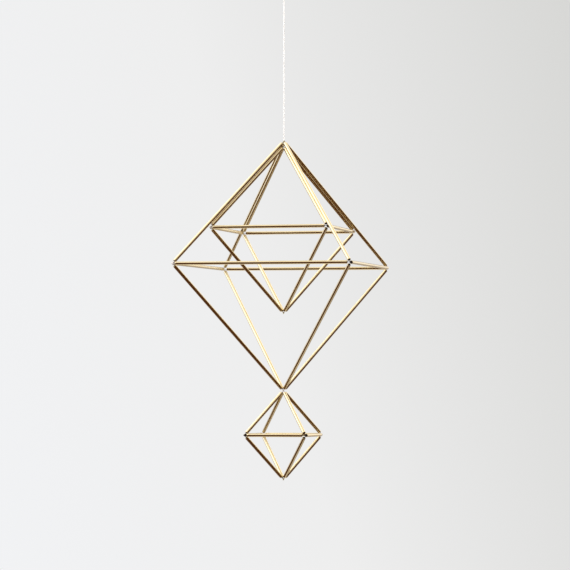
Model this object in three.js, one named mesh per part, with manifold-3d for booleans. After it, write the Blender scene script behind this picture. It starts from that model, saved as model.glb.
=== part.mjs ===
// A hanging mobile strung from thin brass tubes: three regular octahedra on one white cord.
// The inner frame hangs inside the outer one from the same top corner, with its upper tubes lying
// under the outer's, and the small frame is tied on at the outer frame's bottom corner.
// Millimetres, +Z up. The origin is where a hook bears on the inside of the hanging loop, and the
// front side of each square lies along X, facing -Y.

import * as THREE from 'three';
import { mergeVertices } from 'three/addons/utils/BufferGeometryUtils.js';
import Module from 'manifold-3d';

// Brass tube
const TUBE_DIAMETER = 3;
const TUBE_WALL = 0.45;
const TUBE_SIDES = 16;
const END_GAP = 2.85; // from a tube's end to the corner that its axis points at

// Cut lengths of the three frames' tubes
const OUTER_TUBE = 151.3;
const INNER_TUBE = 99.2;
const SMALL_TUBE = 49.7;

// How the frames hang together
const INNER_DROP = 4.6; // the inner frame's top corner below the outer's, one tube under the other
const SMALL_TURN = -1.4; // degrees, the small frame's turn on its thread

// The loose ties let the frames lean a little, in degrees about +X and about +Y
const LARGE_LEAN = [1.1, 0.4];
const SMALL_LEAN = [-1.1, -0.3];

// Thread that ties the tube ends
const THREAD_DIAMETER = 0.6;
const THREAD_SIDES = 5;
const THREAD_INSIDE = 2.2; // how far a thread is modelled into a tube's bore
const TIE_RADIUS = 1.1;

// Hanging cord, its loop and the knot between them
const CORD_DIAMETER = 1.2;
const CORD_SIDES = 8;
const CORD_LENGTH = 132; // from the top corner to the knot
const CORD_STEP = 8;
const LOOP_STEPS = 28;
const KNOT_RADIUS = 2.3;
const KNOT_WRAPS = 3;
const KNOT_HEIGHT = KNOT_WRAPS * CORD_DIAMETER;
const FACE_GAP = 0.3; // between pieces of the cord that touch

// Left half of the loop's centreline as [x, z], from the knot up to the crown
const LOOP_HALF = [
  [-0.7, -27.3],
  [-1.1, -24.2],
  [-2.2, -20.2],
  [-3.7, -15.8],
  [-5.0, -11.2],
  [-5.6, -7.0],
  [-5.1, -3.3],
  [-3.1, -0.5],
  [0, CORD_DIAMETER / 2],
];

// Heights
const KNOT_TOP = LOOP_HALF[0][1] - FACE_GAP;
const KNOT_BOTTOM = KNOT_TOP - KNOT_HEIGHT;
const TOP_CORNER = KNOT_BOTTOM - CORD_LENGTH;

// Corners and sides of a frame's square, by the degrees their direction makes with +X
const CORNERS = { back_right: 45, back_left: 135, front_left: 225, front_right: 315 };
const SIDES = {
  back: ['back_right', 'back_left'],
  left: ['back_left', 'front_left'],
  front: ['front_left', 'front_right'],
  right: ['front_right', 'back_right'],
};

const wasm = await Module();
wasm.setup();

const brass = new THREE.MeshStandardMaterial({ color: '#c9a862', roughness: 0.28, metalness: 1 });
const cotton = new THREE.MeshStandardMaterial({ color: '#f4f3ef', roughness: 0.9, metalness: 0 });

function addMesh(group, name, geometry, material) {
  const mesh = new THREE.Mesh(geometry, material);
  mesh.name = name;
  group.add(mesh);
  return mesh;
}

// A regular octahedron's six corners, hung by its top corner, turned and then leaned about it
function octahedron(tubeLength, top, turn, [aboutX, aboutY]) {
  const reach = (tubeLength + 2 * END_GAP) / Math.SQRT2;
  const corners = { top: new THREE.Vector3() };
  for (const [place, degrees] of Object.entries(CORNERS)) {
    const angle = THREE.MathUtils.degToRad(degrees + turn);
    corners[place] = new THREE.Vector3(reach * Math.cos(angle), reach * Math.sin(angle), -reach);
  }
  corners.bottom = new THREE.Vector3(0, 0, -2 * reach);
  const lean = new THREE.Euler(THREE.MathUtils.degToRad(aboutX), THREE.MathUtils.degToRad(aboutY), 0);
  for (const corner of Object.values(corners)) {
    corner.applyEuler(lean).add(top);
  }
  return corners;
}

// One square-cut tube, lying along +Z from its lower end
function tubeGeometry(length) {
  const section = new THREE.Shape();
  section.absarc(0, 0, TUBE_DIAMETER / 2, 0, 2 * Math.PI, false);
  const bore = new THREE.Path();
  bore.absarc(0, 0, TUBE_DIAMETER / 2 - TUBE_WALL, 0, 2 * Math.PI, true);
  section.holes.push(bore);
  return new THREE.ExtrudeGeometry(section, {
    depth: length,
    steps: 1,
    curveSegments: TUBE_SIDES / 2,
    bevelEnabled: false,
  });
}

function layTube(group, name, geometry, from, to) {
  const along = to.clone().sub(from).normalize();
  const tube = addMesh(group, name, geometry, brass);
  tube.position.copy(from).addScaledVector(along, END_GAP);
  tube.quaternion.setFromUnitVectors(new THREE.Vector3(0, 0, 1), along);
}

function strungFrame(name, tubeLength, corners) {
  const group = new THREE.Group();
  const geometry = tubeGeometry(tubeLength);
  for (const place of Object.keys(CORNERS)) {
    layTube(group, `${name}_upper_tube_${place}`, geometry, corners.top, corners[place]);
    layTube(group, `${name}_lower_tube_${place}`, geometry, corners[place], corners.bottom);
  }
  for (const [side, [from, to]] of Object.entries(SIDES)) {
    layTube(group, `${name}_side_tube_${side}`, geometry, corners[from], corners[to]);
  }
  return group;
}

function toSolid(geometry) {
  const bare = geometry.clone();
  bare.deleteAttribute('normal');
  bare.deleteAttribute('uv');
  const merged = mergeVertices(bare, 1e-4);
  return new wasm.Manifold(new wasm.Mesh({
    numProp: 3,
    vertProperties: merged.attributes.position.array,
    triVerts: new Uint32Array(merged.index.array),
  }));
}

function toGeometry(solid) {
  const { vertProperties, triVerts } = solid.getMesh();
  const geometry = new THREE.BufferGeometry();
  geometry.setAttribute('position', new THREE.BufferAttribute(vertProperties, 3));
  geometry.setIndex(new THREE.BufferAttribute(triVerts, 1));
  geometry.computeVertexNormals();
  return geometry;
}

// A straight stretch of thread between two points
function threadSolid(from, to) {
  const along = to.clone().sub(from);
  const radius = THREAD_DIAMETER / 2;
  const thread = new THREE.CylinderGeometry(radius, radius, along.length(), THREAD_SIDES);
  thread.translate(0, along.length() / 2, 0);
  const turn = new THREE.Quaternion();
  turn.setFromUnitVectors(new THREE.Vector3(0, 1, 0), along.clone().normalize());
  thread.applyQuaternion(turn);
  thread.translate(from.x, from.y, from.z);
  return toSolid(thread);
}

// The knot at one corner, with a thread from it into each tube that ends there
function cornerTie(corner, farCorners) {
  const knot = new THREE.IcosahedronGeometry(TIE_RADIUS, 1);
  knot.translate(corner.x, corner.y, corner.z);
  let solid = toSolid(knot);
  for (const far of farCorners) {
    const along = far.clone().sub(corner).normalize();
    const end = corner.clone().addScaledVector(along, END_GAP + THREAD_INSIDE);
    solid = solid.add(threadSolid(corner, end));
  }
  return solid;
}

function ring(corners) {
  return Object.keys(CORNERS).map((place) => corners[place]);
}

function sideTies(name, corners) {
  const group = new THREE.Group();
  for (const place of Object.keys(CORNERS)) {
    const neighbours = Object.values(SIDES).filter((side) => side.includes(place));
    const beside = neighbours.map(([from, to]) => corners[from === place ? to : from]);
    const tie = cornerTie(corners[place], [corners.top, ...beside, corners.bottom]);
    addMesh(group, `${name}_thread_tie_${place}`, toGeometry(tie), cotton);
  }
  return group;
}

// The ties on the mobile's axis, from the top corner down
function axisTies(outer, inner, small) {
  const group = new THREE.Group();
  const top = cornerTie(outer.top, ring(outer))
    .add(cornerTie(inner.top, ring(inner)))
    .add(threadSolid(inner.top, outer.top));
  const waist = cornerTie(outer.bottom, [...ring(outer), ...ring(small)]);
  addMesh(group, 'top_thread_tie', toGeometry(top), cotton);
  addMesh(group, 'inner_thread_tie_bottom', toGeometry(cornerTie(inner.bottom, ring(inner))), cotton);
  addMesh(group, 'waist_thread_tie', toGeometry(waist), cotton);
  addMesh(group, 'small_thread_tie_bottom', toGeometry(cornerTie(small.bottom, ring(small))), cotton);
  return group;
}

function cordGeometry(curve, steps) {
  const section = new THREE.Shape();
  section.absarc(0, 0, CORD_DIAMETER / 2, 0, 2 * Math.PI, false);
  return new THREE.ExtrudeGeometry(section, {
    steps,
    curveSegments: CORD_SIDES / 2,
    bevelEnabled: false,
    extrudePath: curve,
  });
}

// The cord rises straight from the top corner's tie to the knot
function hangingCord() {
  const foot = new THREE.Vector3(0, 0, TOP_CORNER + TIE_RADIUS + FACE_GAP);
  const head = new THREE.Vector3(0, 0, KNOT_BOTTOM - FACE_GAP);
  const steps = Math.round((head.z - foot.z) / CORD_STEP);
  return cordGeometry(new THREE.LineCurve3(foot, head), steps);
}

function hangingLoop() {
  const left = LOOP_HALF.map(([x, z]) => new THREE.Vector3(x, 0, z));
  const right = LOOP_HALF.slice(0, -1).reverse().map(([x, z]) => new THREE.Vector3(-x, 0, z));
  return cordGeometry(new THREE.CatmullRomCurve3([...left, ...right], false, 'centripetal'), LOOP_STEPS);
}

// Wraps of the cord round its two strands, one round bulge for each
function loopKnot() {
  const bulge = CORD_DIAMETER / 2;
  const inner = KNOT_RADIUS - bulge;
  const profile = [new THREE.Vector2(0, 0)];
  for (let wrap = 0; wrap < KNOT_WRAPS; wrap += 1) {
    for (const degrees of [-60, -20, 20, 60]) {
      const angle = THREE.MathUtils.degToRad(degrees);
      const height = (wrap + 0.5) * CORD_DIAMETER + bulge * Math.sin(angle);
      profile.push(new THREE.Vector2(inner + bulge * Math.cos(angle), height));
    }
  }
  profile.push(new THREE.Vector2(0, KNOT_HEIGHT));
  const knot = new THREE.LatheGeometry(profile, 12);
  knot.rotateX(Math.PI / 2);
  knot.translate(0, 0, KNOT_BOTTOM);
  return knot;
}

const outer = octahedron(OUTER_TUBE, new THREE.Vector3(0, 0, TOP_CORNER), 0, LARGE_LEAN);
const innerTop = outer.top.clone().lerp(outer.bottom, INNER_DROP / outer.top.distanceTo(outer.bottom));
const inner = octahedron(INNER_TUBE, innerTop, 0, LARGE_LEAN);
const small = octahedron(SMALL_TUBE, outer.bottom, SMALL_TURN, SMALL_LEAN);

const mobile = new THREE.Group();
mobile.add(strungFrame('outer', OUTER_TUBE, outer));
mobile.add(strungFrame('inner', INNER_TUBE, inner));
mobile.add(strungFrame('small', SMALL_TUBE, small));
mobile.add(sideTies('outer', outer));
mobile.add(sideTies('inner', inner));
mobile.add(sideTies('small', small));
mobile.add(axisTies(outer, inner, small));
addMesh(mobile, 'hanging_cord', hangingCord(), cotton);
addMesh(mobile, 'hanging_loop', hangingLoop(), cotton);
addMesh(mobile, 'loop_knot', loopKnot(), cotton);

export default mobile;
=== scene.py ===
"""A hanging mobile of thin brass tubes, strung on white thread and hung on one white cotton cord."""
import math
import random

import bmesh
import bpy
from mathutils import Matrix, Vector


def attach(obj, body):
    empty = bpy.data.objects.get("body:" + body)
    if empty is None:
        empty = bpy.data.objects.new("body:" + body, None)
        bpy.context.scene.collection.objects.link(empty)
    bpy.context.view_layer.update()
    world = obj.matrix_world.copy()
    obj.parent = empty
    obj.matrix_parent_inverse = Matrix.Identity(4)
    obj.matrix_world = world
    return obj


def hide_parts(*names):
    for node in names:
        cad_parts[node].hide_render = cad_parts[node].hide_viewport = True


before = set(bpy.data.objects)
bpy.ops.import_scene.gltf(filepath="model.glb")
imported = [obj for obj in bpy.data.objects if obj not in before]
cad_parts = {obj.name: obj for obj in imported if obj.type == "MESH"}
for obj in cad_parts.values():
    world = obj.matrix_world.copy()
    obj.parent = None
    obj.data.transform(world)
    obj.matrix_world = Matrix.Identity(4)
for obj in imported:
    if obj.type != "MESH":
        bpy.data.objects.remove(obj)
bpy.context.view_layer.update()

# The mobile's sizes and the camera's place are in millimetres, and the pieces are made in metres
MM = 0.001

# Brass tube and how far its end stands from the corner that its axis points at
TUBE_DIAMETER = 3.0
TUBE_WALL = 0.45
END_GAP = 2.85
TUBE_SIDES = 40
BORE_RINGS = 3  # rings of each end's profile that lie in the bore
GRAIN_STEP = 400  # from one tube's stretch of the grain pattern to the next one's

# The frames, from the part's source: tube lengths, how far the inner frame hangs below the outer one's
# top, and turn and leans in degrees
OUTER_TUBE = 151.3
INNER_TUBE = 99.2
SMALL_TUBE = 49.7
INNER_DROP = 4.6
SMALL_TURN = -1.4
LARGE_LEAN = (1.1, 0.4)
SMALL_LEAN = (-1.1, -0.3)

# Hanging cord, loop and knot, from the part's source. The plies turn once in each lay.
CORD_DIAMETER = 1.2
CORD_PLIES = 3
CORD_PLY_SIDES = 8
CORD_LAY = 4.2
CUT_END_CROWN = 0.144
TOP_CORNER = -163.2
KNOT_BOTTOM = -31.2
KNOT_TOP = -27.6
LOOP_HALF = [
    (-0.7, -27.3),
    (-1.1, -24.2),
    (-2.2, -20.2),
    (-3.7, -15.8),
    (-5.0, -11.2),
    (-5.6, -7.0),
    (-5.1, -3.3),
    (-3.1, -0.5),
    (0, CORD_DIAMETER / 2),
]

# Thread that ties the tubes
THREAD_DIAMETER = 0.48
THREAD_PLIES = 2
THREAD_PLY_SIDES = 5
THREAD_LAY = 1.3
THREAD_SLACK = 0.18
THREAD_INSIDE = 2.2  # how far it runs into a bore
KNOT_STRAND = 0.8  # doubled thread
TIE_REACH = 1.1  # of a corner's knot, from its middle

CORNERS = {"back_right": 45, "back_left": 135, "front_left": 225, "front_right": 315}
SIDES = {
    "back": ("back_right", "back_left"),
    "left": ("back_left", "front_left"),
    "front": ("front_left", "front_right"),
    "right": ("front_right", "back_right"),
}

# The camera, as the photograph was taken: a long lens, a little below the middle, looking slightly up
CAMERA_AZIMUTH = math.radians(14.62)
CAMERA_PITCH = math.radians(2.57)
CAMERA_DISTANCE = 1686
CAMERA_ASIDE = 0.95
CAMERA_HEIGHT = -367.1
CAMERA_LENS = 120
CAMERA_SENSOR = 36

CAMERA_BACK = Vector((math.sin(CAMERA_AZIMUTH), -math.cos(CAMERA_AZIMUTH), 0))
CAMERA_RIGHT = Vector((math.cos(CAMERA_AZIMUTH), math.sin(CAMERA_AZIMUTH), 0))


def linear(hex_colour, alpha=1.0):
    """An sRGB hex colour as linear red, green, blue and alpha."""
    channels = [int(hex_colour[i:i + 2], 16) / 255 for i in (1, 3, 5)]
    return (*[c / 12.92 if c <= 0.04045 else ((c + 0.055) / 1.055) ** 2.4 for c in channels], alpha)


# Camera

def place_camera():
    data = bpy.data.cameras.new("photograph")
    data.sensor_width = CAMERA_SENSOR
    data.lens = CAMERA_LENS
    data.clip_start = 0.05
    data.clip_end = 60
    camera = bpy.data.objects.new("photograph", data)
    bpy.context.collection.objects.link(camera)
    camera.location = MM * (
        CAMERA_BACK * CAMERA_DISTANCE + CAMERA_RIGHT * CAMERA_ASIDE + Vector((0, 0, CAMERA_HEIGHT)))
    looks = -CAMERA_BACK * math.cos(CAMERA_PITCH) + Vector((0, 0, math.sin(CAMERA_PITCH)))
    camera.rotation_mode = "QUATERNION"
    camera.rotation_quaternion = looks.to_track_quat("-Z", "Y")
    bpy.context.scene.camera = camera


place_camera()


# Materials

def add_node(tree, kind, inputs=None, stops=None, **settings):
    """One node with its settings, its sockets' values or links, and a ramp's stops."""
    node = tree.nodes.new(kind)
    for name, value in settings.items():
        setattr(node, name, value)
    for name, value in (inputs or {}).items():
        if isinstance(value, bpy.types.NodeSocket):
            tree.links.new(value, node.inputs[name])
        else:
            node.inputs[name].default_value = value
    if stops:
        ramp = node.color_ramp
        while len(ramp.elements) < len(stops):
            ramp.elements.new(0.5)
        for element, (position, colour) in zip(ramp.elements, stops):
            element.position = position
            element.color = colour
    return node


def new_material(name):
    """An empty material with its output, and the Principled shader that fills it."""
    material = bpy.data.materials.new(name)
    material.use_nodes = True
    tree = material.node_tree
    tree.nodes.clear()
    shader = add_node(tree, "ShaderNodeBsdfPrincipled")
    add_node(tree, "ShaderNodeOutputMaterial", {"Surface": shader.outputs["BSDF"]})
    return material, tree, shader


def drawn_brass():
    """Yellow brass, about 70 copper to 30 zinc, drawn through a die and hand rubbed.

    It gives the eye a bright cream to golden reflection that is drawn out along the tube in fine die
    lines, with a slightly deeper, browner tone where fingers and air have dulled it.
    """
    material, tree, shader = new_material("drawn_yellow_brass")
    place = add_node(tree, "ShaderNodeAttribute", attribute_name="tube_mm").outputs["Vector"]

    # Die lines are 0.02 to 0.1 mm apart, too fine to show, so they are drawn 0.35 mm apart
    line_place = add_node(tree, "ShaderNodeVectorMath", {0: place, 1: (1 / 0.35, 1 / 0.35, 1 / 90)},
                          operation="MULTIPLY").outputs["Vector"]
    lines = add_node(tree, "ShaderNodeTexNoise", {"Vector": line_place, "Scale": 1.0, "Detail": 3.0,
                                                  "Roughness": 0.6}).outputs["Fac"]
    # Dulling comes in patches 25 mm long, and in finger marks of about 6 mm
    patch_place = add_node(tree, "ShaderNodeVectorMath", {0: place, 1: (1 / 6, 1 / 6, 1 / 25)},
                           operation="MULTIPLY").outputs["Vector"]
    patches = add_node(tree, "ShaderNodeTexNoise", {"Vector": patch_place, "Scale": 1.0, "Detail": 2.0,
                                                    "Roughness": 0.5}).outputs["Fac"]
    mark_place = add_node(tree, "ShaderNodeVectorMath", {0: place, 1: (1 / 2.5, 1 / 2.5, 1 / 6)},
                          operation="MULTIPLY").outputs["Vector"]
    marks = add_node(tree, "ShaderNodeTexNoise", {"Vector": mark_place, "Scale": 1.0, "Detail": 4.0,
                                                  "Roughness": 0.65}).outputs["Fac"]
    # Within 4 mm of a cut end the tube is a little browner from handling
    end = add_node(tree, "ShaderNodeAttribute", attribute_name="end_mm").outputs["Fac"]
    near_end = add_node(tree, "ShaderNodeMapRange", {"Value": end, "From Min": 0.0, "From Max": 4.0,
                                                     "To Min": 0.25, "To Max": 0.0},
                        interpolation_type="SMOOTHSTEP").outputs["Result"]
    dull = add_node(tree, "ShaderNodeMapRange", {"Value": patches, "From Min": 0.42, "From Max": 0.7,
                                                 "To Min": 0.0, "To Max": 0.4},
                    interpolation_type="SMOOTHSTEP").outputs["Result"]
    toned = add_node(tree, "ShaderNodeMath", {0: dull, 1: near_end}, operation="ADD",
                     use_clamp=True).outputs["Value"]
    streak = add_node(tree, "ShaderNodeMapRange", {"Value": lines, "From Min": 0.35, "From Max": 0.65,
                                                   "To Min": 0.96, "To Max": 1.0}).outputs["Result"]
    colour = add_node(tree, "ShaderNodeMix", {"Factor": toned, "A": linear("#F9EABB"),
                                              "B": linear("#EFD8A4")},
                      data_type="RGBA").outputs["Result"]
    streaked = add_node(tree, "ShaderNodeVectorMath", {0: colour, "Scale": streak},
                        operation="SCALE").outputs["Vector"]
    worn = add_node(tree, "ShaderNodeMapRange", {"Value": marks, "From Min": 0.35, "From Max": 0.7,
                                                 "To Min": 0.17, "To Max": 0.3}).outputs["Result"]
    dulled = add_node(tree, "ShaderNodeMath", {0: worn, 1: toned}, operation="ADD").outputs["Value"]
    rough = add_node(tree, "ShaderNodeMapRange", {"Value": dulled, "From Min": 0.15, "From Max": 0.9,
                                                  "To Min": 0.10, "To Max": 0.24}).outputs["Result"]
    bump = add_node(tree, "ShaderNodeBump", {"Height": lines, "Strength": 0.12, "Distance": 0.00003})
    tree.links.new(streaked, shader.inputs["Base Color"])
    tree.links.new(rough, shader.inputs["Roughness"])
    tree.links.new(bump.outputs["Normal"], shader.inputs["Normal"])
    shader.inputs["Metallic"].default_value = 1.0
    return material


def bore_brass():
    """The same brass inside the tube, oxidised and never rubbed: a dark, dull brown."""
    material, tree, shader = new_material("oxidised_brass_bore")
    place = add_node(tree, "ShaderNodeAttribute", attribute_name="tube_mm").outputs["Vector"]
    # Oxide lies in patches of about 1 mm
    oxide = add_node(tree, "ShaderNodeTexNoise", {"Vector": place, "Scale": 1.0,
                                                  "Detail": 3.0}).outputs["Fac"]
    colour = add_node(tree, "ShaderNodeValToRGB", {"Fac": oxide}, stops=[
        (0.35, linear("#5C4426")), (0.65, linear("#8A6C3E"))]).outputs["Color"]
    tree.links.new(colour, shader.inputs["Base Color"])
    shader.inputs["Metallic"].default_value = 1.0
    shader.inputs["Roughness"].default_value = 0.55
    return material


def white_cotton(name, ply, tone, sheen=0.3):
    """Bleached cotton, spun and plied: matt, soft at its edges, with fibre lines along the yarn.

    It is white unless given another tone: a dull tan, or a dark tone that is painted shade.
    """
    material, tree, shader = new_material(name)
    place = add_node(tree, "ShaderNodeAttribute", attribute_name="fibre_mm").outputs["Vector"]
    # Cotton fibres are 0.015 mm thick, too fine to show, so bunches of them are drawn ply mm apart
    fibre_place = add_node(tree, "ShaderNodeVectorMath", {0: place, 1: (1 / ply, 1 / ply, 1 / (9 * ply))},
                           operation="MULTIPLY").outputs["Vector"]
    fibres = add_node(tree, "ShaderNodeTexNoise", {"Vector": fibre_place, "Scale": 1.0, "Detail": 4.0,
                                                   "Roughness": 0.6}).outputs["Fac"]
    # The yarn is thicker and thinner, and a little warmer, over lengths of about 3 mm
    slub_place = add_node(tree, "ShaderNodeVectorMath", {0: place, 1: (0.3, 0.3, 0.3)},
                          operation="MULTIPLY").outputs["Vector"]
    slubs = add_node(tree, "ShaderNodeTexNoise", {"Vector": slub_place, "Scale": 1.0,
                                                  "Detail": 2.0}).outputs["Fac"]
    # The valleys between the plies are darkened as painted shade, the deeper the darker, for the shade of
    # the fibres over them
    depth = add_node(tree, "ShaderNodeAttribute", attribute_name="valley").outputs["Fac"]
    warm = add_node(tree, "ShaderNodeValToRGB", {"Fac": slubs}, stops=[
        (0.3, linear(tone[0])), (0.7, linear(tone[1]))]).outputs["Color"]
    shade = add_node(tree, "ShaderNodeMapRange", {"Value": fibres, "From Min": 0.3, "From Max": 0.7,
                                                  "To Min": 0.88, "To Max": 1.0}).outputs["Result"]
    valley_painted_shade = add_node(tree, "ShaderNodeMapRange", {"Value": depth, "From Min": 0.0, "From Max": 1.0,
                                                 "To Min": 1.0, "To Max": 0.72}).outputs["Result"]
    both = add_node(tree, "ShaderNodeMath", {0: shade, 1: valley_painted_shade}, operation="MULTIPLY").outputs["Value"]
    colour = add_node(tree, "ShaderNodeVectorMath", {0: warm, "Scale": both},
                      operation="SCALE").outputs["Vector"]
    bump = add_node(tree, "ShaderNodeBump", {"Height": fibres, "Strength": 0.5, "Distance": 0.00006})
    tree.links.new(colour, shader.inputs["Base Color"])
    tree.links.new(bump.outputs["Normal"], shader.inputs["Normal"])
    shader.inputs["Roughness"].default_value = 0.9
    shader.inputs["Sheen Weight"].default_value = sheen
    shader.inputs["Sheen Roughness"].default_value = 0.5
    shader.inputs["Specular IOR Level"].default_value = 0.3
    return material


BRASS = drawn_brass()
BORE = bore_brass()
CORD_COTTON = white_cotton("twisted_cotton_cord", 0.09, ("#F2EFE8", "#FAF9F6"))
THREAD_COTTON = white_cotton("waxed_cotton_thread", 0.06, ("#E2D8D2", "#F1EAE4"))
# At some side corners the thread is painted near black, as painted shade among the tubes' dark bores; at
# the top and bottom corners it is a dull tan
SHADE_DARK_THREAD = white_cotton("cotton_thread_painted_dark_for_shade", 0.06, ("#2C2320", "#463A35"), sheen=0.05)
# A dull tan thread, used at the top corner and the inner and small frames' bottom corners
TAN_THREAD = white_cotton("cotton_thread_dull_tan", 0.06, ("#A39576", "#C6B994"), sheen=0.1)


# Shapes

def octahedron(tube_length, top, turn, lean):
    """The six corners of a frame hung by its top corner, as in the part's source."""
    reach = (tube_length + 2 * END_GAP) / math.sqrt(2)
    corners = {"top": Vector((0, 0, 0)), "bottom": Vector((0, 0, -2 * reach))}
    for place, degrees in CORNERS.items():
        angle = math.radians(degrees + turn)
        corners[place] = Vector((reach * math.cos(angle), reach * math.sin(angle), -reach))
    leaned = Matrix.Rotation(math.radians(lean[0]), 3, "X") @ Matrix.Rotation(math.radians(lean[1]), 3, "Y")
    return {place: top + leaned @ corner for place, corner in corners.items()}


def smooth_line(points, spacing):
    """A centripetal line through points, in steps of about spacing."""
    ends = [2 * points[0] - points[1], *points, 2 * points[-1] - points[-2]]
    line = [points[0].copy()]
    for before, start, end, after in zip(ends, ends[1:], ends[2:], ends[3:]):
        knots = [0.0]
        for a, b in ((before, start), (start, end), (end, after)):
            knots.append(knots[-1] + math.sqrt((b - a).length))
        steps = max(1, round((end - start).length / spacing))
        for step in range(1, steps + 1):
            t = knots[1] + (knots[2] - knots[1]) * step / steps
            layer = [before, start, end, after]
            for reach in (1, 2, 3):
                layer = [
                    (layer[i] * (right - t) + layer[i + 1] * (t - left)) / (right - left)
                    for i in range(len(layer) - 1)
                    for left, right in [pyramid_span(knots, i, reach)]
                ]
            line.append(layer[0])
    return line


def pyramid_span(knots, i, reach):
    """The knots that one step of the smooth line's pyramid blends between."""
    if reach == 1:
        return knots[i], knots[i + 1]
    if reach == 2:
        return knots[i], knots[i + 2]
    return knots[1], knots[2]


def twisted_section(radius, plies, sides_of_ply):
    """The outline of round plies lying against each other: points as (angle, distance, valley depth)."""
    if plies == 2:
        ply = radius / 2
        off = radius / 2
    else:
        ply = radius / (1 + 1 / math.sin(math.pi / plies))
        off = radius - ply
    points = []
    for lobe in range(plies):
        for k in range(sides_of_ply):
            half = math.pi / plies
            angle = -half + 2 * half * (k + 0.5) / sides_of_ply
            # Where a ray at this angle leaves the ply's circle
            side = off * math.sin(angle)
            distance = off * math.cos(angle) + math.sqrt(max(ply * ply - side * side, 0))
            points.append((angle + lobe * 2 * half, distance, 1 - distance / radius))
    return points


def sweep(bm, line, section, lay):
    """A closed tube of the section along line, turning once in each lay."""
    layers = bm.verts.layers
    fibre = layers.float_vector.get("fibre_mm") or layers.float_vector.new("fibre_mm")
    valley = layers.float.get("valley") or layers.float.new("valley")
    deepest = max(point[2] for point in section) or 1
    tangents = [(b - a).normalized() for a, b in zip([line[0], *line[:-1]], [*line[1:], line[-1]])]
    across = tangents[0].orthogonal().normalized()
    along = 0.0
    rings = []
    for i, (centre, tangent) in enumerate(zip(line, tangents)):
        if i:
            along += (centre - line[i - 1]).length
        across = (across - tangent * across.dot(tangent)).normalized()
        up = tangent.cross(across)
        ring = []
        for angle, distance, depth in section:
            turned = angle + math.tau * along / lay
            spot = (across * math.cos(turned) + up * math.sin(turned)) * distance
            vertex = bm.verts.new((centre + spot) * MM)
            vertex[fibre] = (distance * math.cos(turned), distance * math.sin(turned), along)
            vertex[valley] = depth / deepest
            ring.append(vertex)
        rings.append(ring)
    count = len(section)
    for ring, following in zip(rings, rings[1:]):
        for k in range(count):
            bm.faces.new((ring[k], ring[(k + 1) % count], following[(k + 1) % count], following[k]))
    for ring, tangent, outward in ((rings[0], tangents[0], -1), (rings[-1], tangents[-1], 1)):
        middle = sum((vertex.co for vertex in ring), Vector()) / count
        tip = bm.verts.new(middle + tangent * outward * CUT_END_CROWN * MM)
        tip[fibre] = ring[0][fibre]
        for k in range(count):
            pair = (ring[(k + 1) % count], ring[k]) if outward < 0 else (ring[k], ring[(k + 1) % count])
            bm.faces.new((*pair, tip))


def lay_cord(bm, line, diameter=CORD_DIAMETER):
    sweep(bm, line, twisted_section(diameter / 2, CORD_PLIES, CORD_PLY_SIDES), CORD_LAY)


def lay_thread(bm, line, diameter=THREAD_DIAMETER):
    sweep(bm, line, twisted_section(diameter / 2, THREAD_PLIES, THREAD_PLY_SIDES), THREAD_LAY)


def finish_piece(bm, name, materials, nodes):
    """A smooth-shaded object of the mesh that stands for its CAD nodes and moves with the mobile."""
    bm.normal_update()
    mesh = bpy.data.meshes.new(name)
    bm.to_mesh(mesh)
    bm.free()
    for material in materials:
        mesh.materials.append(material)
    mesh.polygons.foreach_set("use_smooth", [True] * len(mesh.polygons))
    piece = bpy.data.objects.new(name, mesh)
    bpy.context.collection.objects.link(piece)
    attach(piece, "root")
    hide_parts(*nodes)
    return piece


# Cord, loop and knot

def cord_line():
    """The cord's centreline: up from the top corner, round the loop and back into the knot."""
    bottom = TOP_CORNER + 0.4
    steps = 33
    straight = [Vector((0, 0, bottom + (KNOT_BOTTOM - bottom) * k / steps)) for k in range(steps + 1)]
    leaving = Vector((-0.4, 0, KNOT_BOTTOM + 1.6))
    left = [Vector((x, 0, z)) for x, z in LOOP_HALF]
    right = [Vector((-x, 0, z)) for x, z in reversed(LOOP_HALF[:-1])]
    returning = Vector((0.62, 0, KNOT_BOTTOM + 1.6))
    return smooth_line([*straight, leaving, *left, *right, returning], 0.25)


def hang_cord():
    line = cord_line()
    bm = bmesh.new()
    lay_cord(bm, line)
    cord = finish_piece(bm, "twisted_cord", [CORD_COTTON], ["hanging_cord", "hanging_loop"])
    return cord, line


def wrapped_knot():
    """The cord's own end, wrapped round its two strands and left as a short tail."""
    turns = 2.55
    rise = 1.0044  # of each turn
    half_wide, half_deep = 1.68, 1.12
    first_angle = math.radians(200)
    steps = 20
    wraps = []
    for step in range(1, steps + 1):
        turned = turns * step / steps
        angle = first_angle + math.tau * turned
        wraps.append(Vector((half_wide * math.cos(angle), half_deep * math.sin(angle),
                             KNOT_BOTTOM + 0.55 + rise * turned)))
    tail = [Vector((-2.3, -1.6, KNOT_BOTTOM - 3.0)), Vector((-2.2, -1.15, KNOT_BOTTOM - 1.4)),
            Vector((-1.95, -0.85, KNOT_BOTTOM - 0.2))]
    tucked = [Vector((-0.3, 0.9, KNOT_TOP - 0.5)), Vector((0.2, 0.35, KNOT_TOP - 0.7))]
    squeezed = CORD_DIAMETER * 0.96
    bm = bmesh.new()
    lay_cord(bm, smooth_line([*tail, *wraps, *tucked], 0.22), squeezed)
    return finish_piece(bm, "wrapped_knot", [CORD_COTTON], ["loop_knot"])


cord, route = hang_cord()
knot = wrapped_knot()


# Brass tubes

def tube_end_profile():
    """A cut and deburred tube end, from the wall round to the bore: (distance from the end, radius)."""
    outer = TUBE_DIAMETER / 2
    bore = outer - TUBE_WALL
    return [
        (1.1, outer),
        (0.5, outer - 0.012),
        (0.22, outer - 0.045),
        (0.08, outer - 0.09),
        (0.015, outer - 0.15),
        (0.0, outer - 0.2),
        (0.0, bore + 0.03),
        (0.03, bore - 0.02),
        (0.14, bore - 0.045),
        (0.5, bore - 0.02),
        (1.2, bore),
    ]


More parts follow.
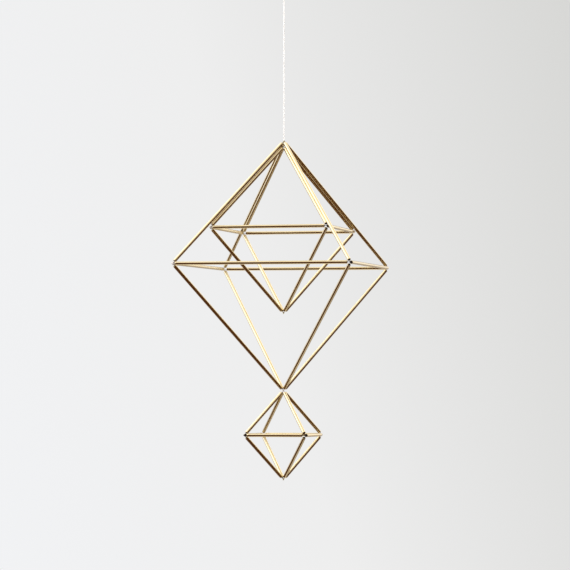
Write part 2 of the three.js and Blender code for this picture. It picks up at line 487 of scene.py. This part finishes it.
def drawn_tube(name, node, tube_length, start, end, number):
    """One tube from start to end, in mm. Its number shifts its grain, so that no two look the same."""
    bm = bmesh.new()
    spot = bm.verts.layers.float_vector.new("tube_mm")
    to_end = bm.verts.layers.float.new("end_mm")
    near = tube_end_profile()
    far = [(tube_length - distance, radius) for distance, radius in reversed(near)]
    profile = [*near, *far]
    rings = []
    for height, radius in profile:
        ring = []
        for k in range(TUBE_SIDES):
            angle = math.tau * k / TUBE_SIDES
            x, y = radius * math.cos(angle), radius * math.sin(angle)
            vertex = bm.verts.new(Vector((x, y, height)) * MM)
            vertex[spot] = (x, y, height + GRAIN_STEP * number)
            vertex[to_end] = min(height, tube_length - height)
            ring.append(vertex)
        rings.append(ring)
    last = len(near) - 1
    loops = list(range(len(profile)))
    for i, j in zip(loops, [*loops[1:], 0]):
        in_bore = last - BORE_RINGS <= i <= last + BORE_RINGS
        for k in range(TUBE_SIDES):
            after = (k + 1) % TUBE_SIDES
            face = bm.faces.new((rings[i][k], rings[j][k], rings[j][after], rings[i][after]))
            face.material_index = 1 if in_bore else 0
    bmesh.ops.recalc_face_normals(bm, faces=bm.faces)
    along = (end - start).normalized()
    tube = finish_piece(bm, name, [BRASS, BORE], [node])
    place = Matrix.Translation((start + along * END_GAP) * MM)
    tube.matrix_world = place @ along.to_track_quat("Z", "Y").to_matrix().to_4x4()


outer = octahedron(OUTER_TUBE, Vector((0, 0, TOP_CORNER)), 0, LARGE_LEAN)
drop = INNER_DROP / (outer["bottom"] - outer["top"]).length
inner = octahedron(INNER_TUBE, outer["top"].lerp(outer["bottom"], drop), 0, LARGE_LEAN)
small = octahedron(SMALL_TUBE, outer["bottom"], SMALL_TURN, SMALL_LEAN)
FRAMES = {"outer": (OUTER_TUBE, outer), "inner": (INNER_TUBE, inner), "small": (SMALL_TUBE, small)}


def string_frames():
    """The 12 tubes of each frame: 4 upper, 4 lower and 4 along its square."""
    number = 0
    for frame_name, (tube_length, corners) in FRAMES.items():
        runs = []
        for place in CORNERS:
            runs.append((f"upper_tube_{place}", "top", place))
            runs.append((f"lower_tube_{place}", place, "bottom"))
        for side, (start, end) in SIDES.items():
            runs.append((f"side_tube_{side}", start, end))
        for run, start, end in runs:
            number += 1
            node = f"{frame_name}_{run}"
            drawn_tube(f"drawn_{node}", node, tube_length, corners[start], corners[end], number)


string_frames()


# Thread ties

def tied_knot(bm, centre, random_turn):
    """A small overhand knot pulled tight at a corner."""
    size = (TIE_REACH - KNOT_STRAND / 2) / 3
    steps = 49
    line = []
    for step in range(steps):
        t = math.tau * step / steps
        loop = Vector((
            math.sin(t) + 2 * math.sin(2 * t),
            math.cos(t) - 2 * math.cos(2 * t),
            -1.3 * math.sin(3 * t),
        ))
        line.append(centre + random_turn @ loop * size)
    line.append(line[0].copy())
    lay_thread(bm, line, KNOT_STRAND)


def thread_between(bm, centre, one, other, chance):
    """Thread out of one tube's bore, past the corner's middle and into another's."""
    slack = Vector([chance.uniform(-THREAD_SLACK, THREAD_SLACK) for _ in range(3)])
    in_bore, at_mouth = END_GAP + THREAD_INSIDE, END_GAP + 0.4
    points = [
        centre + one * in_bore + slack,
        centre + one * at_mouth + slack * 1.4,
        centre + one * TIE_REACH + slack,
        centre + slack * 1.5 + (one + other) * 0.18,
        centre + other * TIE_REACH - slack,
        centre + other * at_mouth - slack * 1.4,
        centre + other * in_bore - slack,
    ]
    lay_thread(bm, smooth_line(points, 0.2))


def tie_corner(bm, centre, far_corners, chance, knotted=True):
    """The thread's strands, and its knot if it has one, where the tubes to far_corners meet."""
    ways = [(far - centre).normalized() for far in far_corners]
    if knotted:
        pairs = zip(ways, [*ways[1:], ways[0]])
    else:
        pairs = zip(ways[:2], ways[2:])
    for one, other in pairs:
        thread_between(bm, centre, one, other, chance)
    turned = Matrix.Rotation(chance.uniform(0, math.tau), 3, "Z")
    tipped = Matrix.Rotation(chance.uniform(0, math.pi), 3, "X")
    if knotted:
        tied_knot(bm, centre, turned @ tipped)


def beside(corners, place):
    """The far corners of the tubes that meet at one corner of a frame's square."""
    sides = [pair for pair in SIDES.values() if place in pair]
    neighbours = [corners[pair[1] if pair[0] == place else pair[0]] for pair in sides]
    return [corners["top"], neighbours[0], corners["bottom"], neighbours[1]]


def ring_of(corners):
    return [corners[place] for place in CORNERS]


# The corners whose thread is painted dark, as painted shade among the tubes' dark bores
SHADE_DARK_CORNERS = [("outer", "front_right"), ("inner", "front_right"), ("inner", "back_left"),
          ("small", "front_left"), ("small", "front_right"), ("small", "back_right")]


def tie_side_corners(chance):
    for frame_name, (_, corners) in FRAMES.items():
        for place in CORNERS:
            bm = bmesh.new()
            tie_corner(bm, corners[place], beside(corners, place), chance)
            # The corners in shade get the thread that is painted dark, as painted shade
            thread = SHADE_DARK_THREAD if (frame_name, place) in SHADE_DARK_CORNERS else THREAD_COTTON
            finish_piece(bm, f"tied_{frame_name}_{place}", [thread],
                         [f"{frame_name}_thread_tie_{place}"])


def tie_top(chance):
    """The outer frame's top corner, with the inner frame hung close under it."""
    bm = bmesh.new()
    tie_corner(bm, outer["top"], ring_of(outer), chance)
    tie_corner(bm, inner["top"], ring_of(inner), chance, knotted=False)
    middle = outer["top"].lerp(inner["top"], 0.5) + Vector((0.2, 0.1, 0))
    lay_thread(bm, smooth_line([outer["top"], middle, inner["top"]], 0.2))
    finish_piece(bm, "tied_top", [TAN_THREAD], ["top_thread_tie"])


def tie_waist(chance):
    """The outer frame's bottom corner, which is the small frame's top one."""
    bm = bmesh.new()
    tie_corner(bm, outer["bottom"], ring_of(outer), chance)
    tie_corner(bm, outer["bottom"], ring_of(small), chance, knotted=False)
    finish_piece(bm, "tied_waist", [THREAD_COTTON], ["waist_thread_tie"])


def tie_bottoms(chance):
    for frame_name, corners in (("inner", inner), ("small", small)):
        bm = bmesh.new()
        tie_corner(bm, corners["bottom"], ring_of(corners), chance)
        finish_piece(bm, f"tied_{frame_name}_bottom", [TAN_THREAD],
                     [f"{frame_name}_thread_tie_bottom"])


chance = random.Random(7)
tie_side_corners(chance)
tie_top(chance)
tie_waist(chance)
tie_bottoms(chance)


# Light, backdrop and floor

# What the brass mirrors is a plain studio: white paper behind and below, a big soft light
# high on the left, a smaller one on the right, a pale ceiling, and a dark room in front. Each has its
# bearing in degrees, turned right from straight behind the mobile, its height in degrees, its colour,
# and the degrees from its middle within which it is full and beyond which it is gone.
STUDIO = [
    ("paper_behind", 0, 0, (0.4, 0.4, 0.4), 30, 70),
    ("left_soft_light", 280, 30, (1.3, 1.4, 1.7), 20, 50),
    ("right_soft_light", 45, 20, (0.8, 0.8, 0.8), 15, 35),
    ("ceiling", 0, 90, (0.9, 0.9, 0.9), 40, 75),
    ("paper_below", 0, -70, (0.8, 0.8, 0.8), 15, 35),
]
DARK_ROOM = (0.08, 0.03, 0.01)

# The pale backdrop, matched to the photograph's and a little brighter on the left
BACKDROP = [
    (-0.2, "#F2F3F5"),
    (0.0, "#EEEEEE"),
    (0.2, "#D8D8D6"),
]
BACKDROP_TILT = 0.3

# Big soft lamps round the mobile, for the cotton: bearing and height in degrees, and watts. Their sizes
# and the floor's are in metres.
LAMPS = [
    ("front_left", 225, 15, 27),
    ("front_right", 135, 15, 22),
    ("back_right", 60, 30, 16),
    ("back_left", 300, 30, 21),
]
LAMP_DISTANCE = 1.9
LAMP_SIDE = 1.1
LAMPS_AIM = Vector((0, 0, -0.2))

FLOOR_HEIGHT = -1.9
FLOOR_RADIUS = 5.5


def bearing(turn, height):
    """The way to something at a bearing and height in degrees, seen from the mobile."""
    turn, height = math.radians(turn), math.radians(height)
    level = CAMERA_RIGHT * math.sin(turn) - CAMERA_BACK * math.cos(turn)
    return level * math.cos(height) + Vector((0, 0, math.sin(height)))


def light_studio():
    world = bpy.data.worlds.new("studio")
    bpy.context.scene.world = world
    world.use_nodes = True
    tree = world.node_tree
    tree.nodes.clear()
    toward = add_node(tree, "ShaderNodeTexCoord").outputs["Generated"]
    shine = DARK_ROOM
    for name, turn, height, colour, full, gone in STUDIO:
        near = add_node(tree, "ShaderNodeVectorMath", {0: toward, 1: bearing(turn, height)},
                        operation="DOT_PRODUCT").outputs["Value"]
        amount = add_node(tree, "ShaderNodeMapRange", {
            "Value": near, "From Min": math.cos(math.radians(gone)),
            "From Max": math.cos(math.radians(full)), "To Min": 0.0, "To Max": 1.0},
            interpolation_type="SMOOTHSTEP", label=name).outputs["Result"]
        glow = add_node(tree, "ShaderNodeVectorMath", {0: colour, "Scale": amount},
                        operation="SCALE").outputs["Vector"]
        shine = add_node(tree, "ShaderNodeVectorMath", {0: glow, 1: shine},
                         operation="ADD").outputs["Vector"]
    slope = CAMERA_RIGHT + Vector((0, 0, BACKDROP_TILT))
    side = add_node(tree, "ShaderNodeVectorMath", {0: toward, 1: slope},
                    operation="DOT_PRODUCT").outputs["Value"]
    first, last = BACKDROP[0][0], BACKDROP[-1][0]
    across = add_node(tree, "ShaderNodeMapRange", {"Value": side, "From Min": first, "From Max": last,
                                                   "To Min": 0.0, "To Max": 1.0}).outputs["Result"]
    backdrop = add_node(tree, "ShaderNodeValToRGB", {"Fac": across}, stops=[
        ((place - first) / (last - first), linear(colour)) for place, colour in BACKDROP]).outputs["Color"]
    seen = add_node(tree, "ShaderNodeLightPath").outputs["Is Camera Ray"]
    lit = add_node(tree, "ShaderNodeBackground", {"Color": shine, "Strength": 1.0})
    pale = add_node(tree, "ShaderNodeBackground", {"Color": backdrop, "Strength": 1.0})
    both = add_node(tree, "ShaderNodeMixShader", {0: seen, 1: lit.outputs["Background"],
                                                  2: pale.outputs["Background"]})
    add_node(tree, "ShaderNodeOutputWorld", {"Surface": both.outputs["Shader"]})


def soft_lamps():
    for name, turn, height, watts in LAMPS:
        data = bpy.data.lights.new(f"lamp_{name}", "AREA")
        data.energy = watts
        data.size = LAMP_SIDE
        lamp = bpy.data.objects.new(f"lamp_{name}", data)
        way = bearing(turn, height)
        lamp.location = LAMPS_AIM + way * LAMP_DISTANCE
        lamp.rotation_mode = "QUATERNION"
        lamp.rotation_quaternion = (-way).to_track_quat("-Z", "Y")
        lamp.visible_camera = False
        lamp.visible_glossy = False
        bpy.context.collection.objects.link(lamp)


def pale_floor():
    bm = bmesh.new()
    bmesh.ops.create_circle(bm, cap_ends=True, segments=96, radius=FLOOR_RADIUS)
    mesh = bpy.data.meshes.new("floor")
    bm.to_mesh(mesh)
    bm.free()
    material, tree, shader = new_material("matt_white_paint")
    shader.inputs["Base Color"].default_value = linear("#F0F0EE")
    shader.inputs["Roughness"].default_value = 0.9
    mesh.materials.append(material)
    floor = bpy.data.objects.new("floor", mesh)
    floor.location = (0, 0, FLOOR_HEIGHT)
    floor.visible_glossy = False
    bpy.context.collection.objects.link(floor)


light_studio()
soft_lamps()
pale_floor()
bpy.context.scene.view_settings.view_transform = "Standard"
